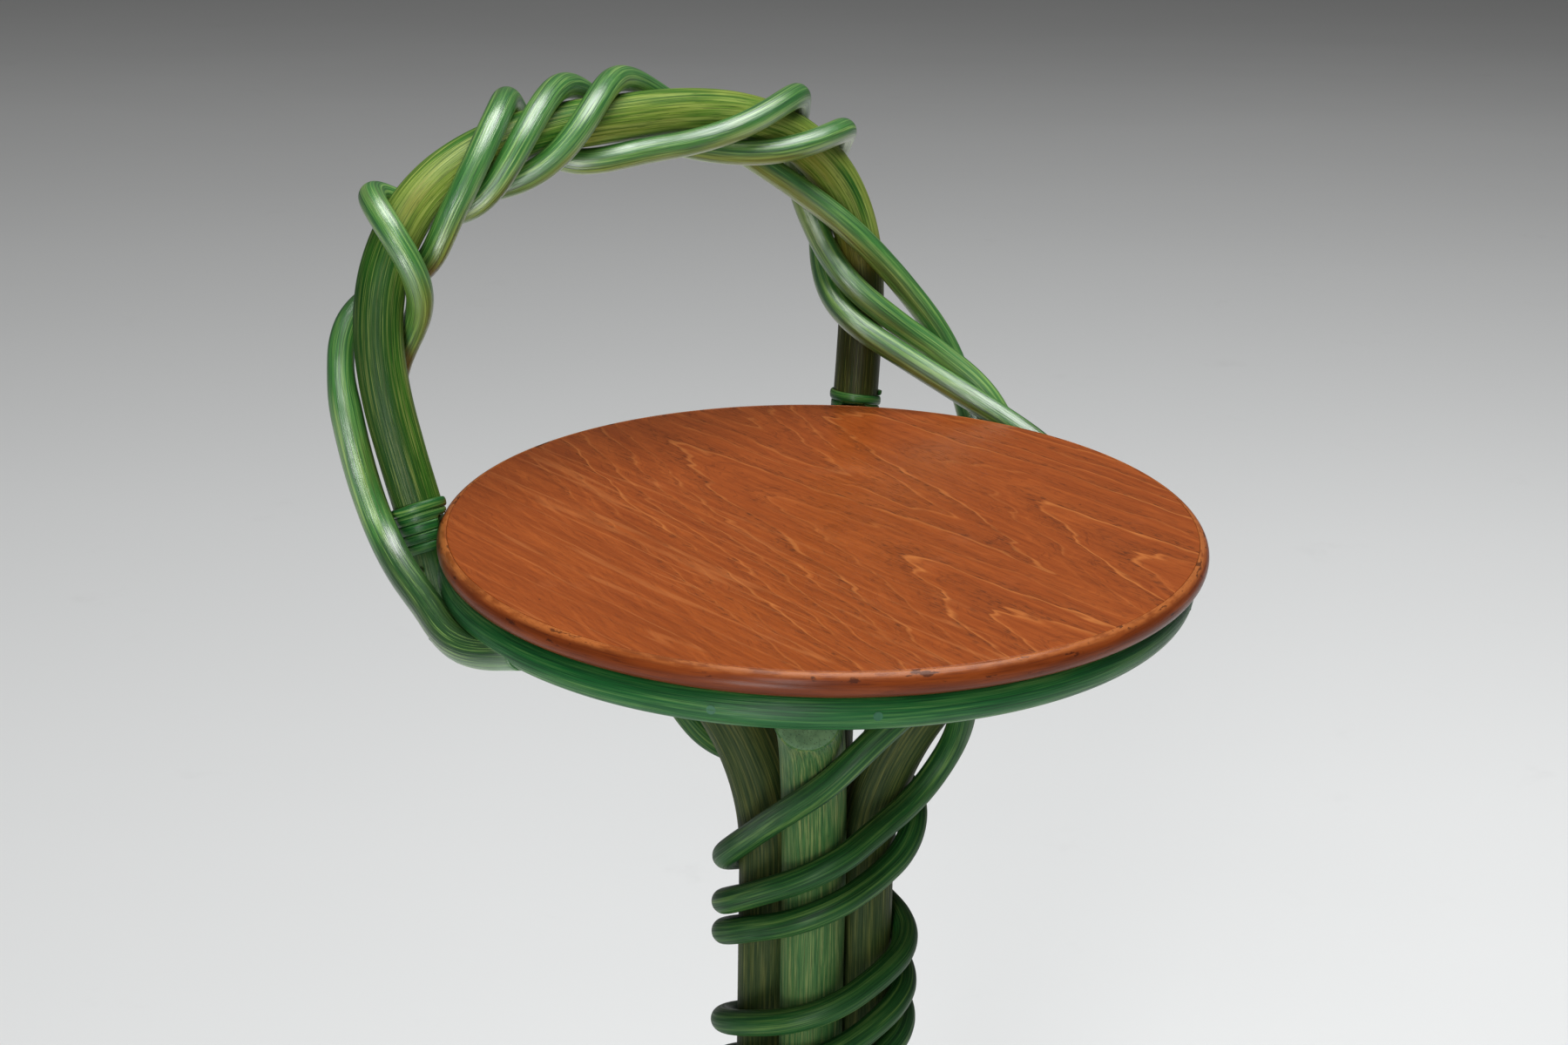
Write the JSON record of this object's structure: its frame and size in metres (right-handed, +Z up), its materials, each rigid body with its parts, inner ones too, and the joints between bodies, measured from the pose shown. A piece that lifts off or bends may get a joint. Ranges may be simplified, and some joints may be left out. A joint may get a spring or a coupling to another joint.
{
  "type": "rattan bar stool",
  "caption": "Round veneered seat on a column of bent rattan poles wound with thin vines, with a low arched back twisted with vines and a round floor hoop.",
  "frame": {"origin": "on the floor under the axis of the column", "axes": "+Z up, +Y towards the arched back, +X to the sitter's right when facing the back"},
  "size_m": [0.4359, 0.436, 0.9514],
  "materials": {
    "seat_face": "satin lacquered teak-type veneer",
    "seat_core": "raw plywood",
    "seat_edge": "satin lacquered solid wood",
    "rail_wood": "sawn softwood",
    "rattan_arch": "olive green stained rattan, gloss lacquer",
    "rattan_vine": "green stained rattan, gloss lacquer",
    "rattan_hoop": "blue-green stained rattan, gloss lacquer",
    "rattan_pole": "grey-green stained rattan, satin lacquer",
    "cane": "stained split cane, gloss lacquer",
    "dowel_wood": "plain hardwood",
    "steel": "bright zinc",
    "glide_plastic": "moulded"
  },
  "bodies": {
    "root": {"seat_veneer": "seat_face", "seat_panel": "seat_core", "seat_backing": "seat_core", "seat_lipping": "seat_edge", "seat_hoop": "rattan_hoop", "base_hoop": "rattan_hoop", "hoop_scarf_pins": "dowel_wood", "seat_rail_long": "rail_wood", "seat_rail_front_right": "rail_wood", "seat_rail_back_left": "rail_wood", "seat_screws": "steel", "rail_nails": "steel", "rail_dowels": "dowel_wood", "column_pole_front_left": "rattan_pole", "column_pole_front_right": "rattan_pole", "column_pole_back_right": "rattan_pole", "column_pole_back_left": "rattan_pole", "arm_screws": "steel", "foot_screws": "steel", "column_dowels": "dowel_wood", "back_arch": "rattan_arch", "arch_vine_a": "rattan_vine", "arch_vine_b": "rattan_vine", "arch_vine_c": "rattan_vine", "column_vine_a": "rattan_vine", "column_vine_b": "rattan_vine", "column_vine_c": "rattan_vine", "arch_binding_left": "cane", "arch_binding_right": "cane", "binding_tacks": "steel", "arch_screws": "steel", "vine_brads": "steel", "floor_glides": "glide_plastic", "glide_nails": "steel"}
  },
  "joints": []
}
